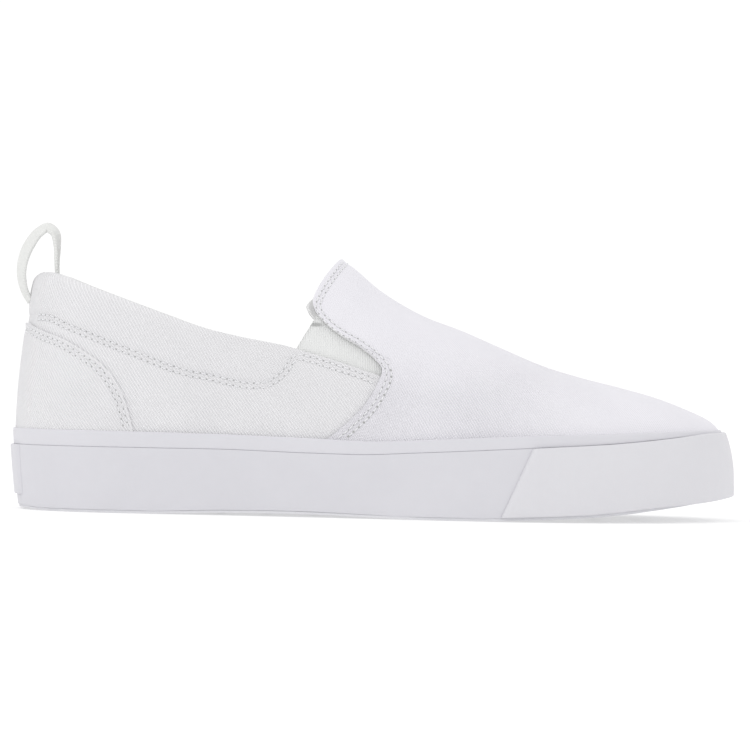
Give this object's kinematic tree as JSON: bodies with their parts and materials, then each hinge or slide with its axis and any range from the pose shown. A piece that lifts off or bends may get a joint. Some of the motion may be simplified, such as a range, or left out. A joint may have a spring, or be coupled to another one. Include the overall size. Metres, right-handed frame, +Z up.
{
  "type": "slip-on sneaker",
  "caption": "White canvas slip-on sneaker with elastic side gores, padded collar, heel pull loop and a vulcanised rubber sole with a toe bumper.",
  "frame": {"origin": "on the floor face of the outsole under the middle of the heel", "axes": "+X from the heel to the toe, +Y to the inner side of the foot, +Z up"},
  "size_m": [0.2826, 0.1035, 0.1106],
  "materials": {
    "rubber": "satin",
    "canvas": "matte twill",
    "elastic": "matte",
    "lining": "matte",
    "foam": "matte",
    "webbing": "matte"
  },
  "bodies": {
    "root": {"outsole": "rubber", "foxing_tape": "rubber", "foxing_strip": "rubber", "toe_bumper": "rubber", "heel_patch": "rubber", "upper": "canvas", "heel_counter": "canvas", "gore_lateral": "elastic", "gore_medial": "elastic", "tongue_lining": "lining", "insole": "foam", "pull_loop": "webbing"}
  },
  "joints": []
}
